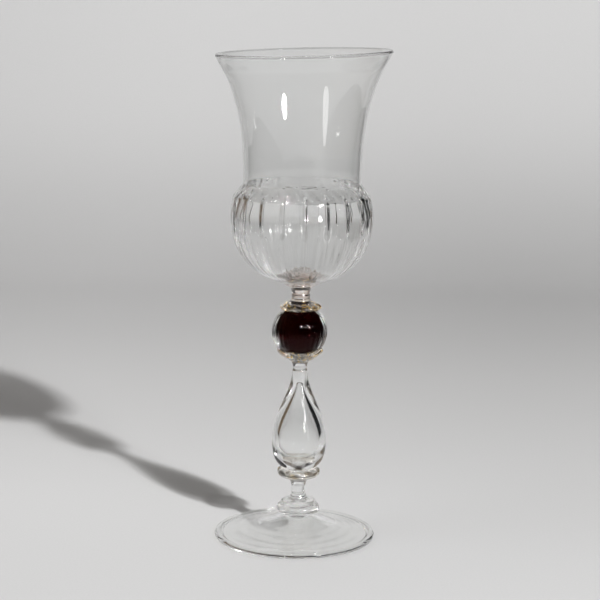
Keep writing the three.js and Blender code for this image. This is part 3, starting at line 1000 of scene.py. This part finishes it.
def stage_material(name, colour, right_shade=0.0, front=0.0, gloss=0.0):
    material, tree, output = shader(name)
    place = tree.nodes.new("ShaderNodeTexCoord")
    shade = tree.nodes.new("ShaderNodeVectorMath")
    shade.operation = "SCALE"
    shade.inputs[0].default_value = colour
    tree.links.new(grain_and_painted_shade(tree, place.outputs["Object"], right_shade, front), shade.inputs["Scale"])
    body = tree.nodes.new("ShaderNodeBsdfPrincipled")
    body.inputs["Roughness"].default_value = STAGE_ROUGHNESS
    body.inputs["Specular IOR Level"].default_value = gloss
    tree.links.new(shade.outputs["Vector"], body.inputs["Base Color"])
    tree.links.new(body.outputs["BSDF"], output.inputs["Surface"])
    return material


paper = sheet("paper", paper_line(), paper_edges)
# The paper's colour is painted darker to the right and in front, as shade
paper.data.materials.append(stage_material("paper", PAPER_COLOUR, right_shade=0.21, front=0.14))
table_line = [(y, -TABLE["drop"]) for y in table_edges(0)]
table = sheet("table", table_line, table_edges)
table.data.materials.append(stage_material("table", TABLE_COLOUR, gloss=0.2))


# Lamps and world

KEY_PLACE = Vector((1.13, -1.65, 1.0))
KEY_AIM = (0, 0.1, 0.1)
KEY_COLOUR = (1.0, 0.995, 0.985)
HALO_SETBACK = 1.02
STRIP_PLACE = (0.155, -0.19, 0.09)
STRIP_AIM = (0, 0, 0.2)
FILL_PLACE = (-1.3, -0.4, 1.4)
FILL_AIM = (0, 0.2, 0)
FILL_COLOUR = (0.97, 0.985, 1.0)
ROOM_LEFT = (0.145, 0.108, 0.075)
ROOM_RIGHT = (0.006, 0.006, 0.007)
ROOM_RUN = (-0.9, 0.1)


def area_lamp(name, place, aim, colour, width, height, watts):
    data = bpy.data.lights.new(name, "AREA")
    data.shape = "ELLIPSE"
    data.size = width
    data.size_y = height
    data.energy = watts
    data.color = colour
    lamp = bpy.data.objects.new(name, data)
    lamp.location = place
    lamp.rotation_euler = (Vector(aim) - Vector(place)).to_track_quat("-Z", "Y").to_euler()
    bpy.context.scene.collection.objects.link(lamp)
    return lamp


# The fill shows in no glass, and the strip shows only as a glint
area_lamp("key", KEY_PLACE, KEY_AIM, KEY_COLOUR, width=0.1, height=0.1, watts=81)
area_lamp("halo", KEY_PLACE * HALO_SETBACK, KEY_AIM, KEY_COLOUR, width=0.36, height=0.58, watts=15.5)
fill = area_lamp("fill", FILL_PLACE, FILL_AIM, FILL_COLOUR, width=1.2, height=1.2, watts=4.2)
fill.visible_glossy = False
fill.visible_transmission = False
strip = area_lamp("strip", STRIP_PLACE, STRIP_AIM, KEY_COLOUR, width=0.045, height=0.105, watts=0.06)
strip.visible_camera = False
strip.visible_diffuse = False
strip.visible_transmission = False

world = bpy.data.worlds.new("room")
bpy.context.scene.world = world
world.use_nodes = True
room = world.node_tree
view = room.nodes.new("ShaderNodeTexCoord")
sides = room.nodes.new("ShaderNodeSeparateXYZ")
room.links.new(view.outputs["Generated"], sides.inputs["Vector"])
room_colour = colour_mix(room, band(room, sides.outputs["X"], ROOM_RUN), ROOM_LEFT, ROOM_RIGHT)
room.links.new(room_colour, room.nodes["Background"].inputs["Color"])


# Camera, in metres

SENSOR = 36.0
FOCAL_SHARE = 2.94
CAMERA_PLACE = Vector((-0.0004, -0.8848, 0.2789))
CAMERA_PITCH = math.radians(9.913)
CAMERA_ROLL = math.radians(0.77)

camera_data = bpy.data.cameras.new("camera")
camera_data.sensor_width = SENSOR
camera_data.lens = SENSOR * FOCAL_SHARE
camera = bpy.data.objects.new("camera", camera_data)
level = Matrix.Rotation(math.pi / 2 - CAMERA_PITCH, 4, "X")
camera.matrix_world = Matrix.Translation(CAMERA_PLACE) @ level @ Matrix.Rotation(CAMERA_ROLL, 4, "Z")
bpy.context.scene.collection.objects.link(camera)
bpy.context.scene.camera = camera


# Rendering

GLASS_BOUNCES = 48
CLEAR_BOUNCES = 64

scene = bpy.context.scene
scene.view_settings.view_transform = "Standard"
scene.cycles.max_bounces = GLASS_BOUNCES
scene.cycles.transmission_bounces = GLASS_BOUNCES
scene.cycles.glossy_bounces = GLASS_BOUNCES
scene.cycles.transparent_max_bounces = CLEAR_BOUNCES
scene.cycles.sample_clamp_indirect = 0
scene.cycles.caustics_reflective = False
scene.cycles.caustics_refractive = False
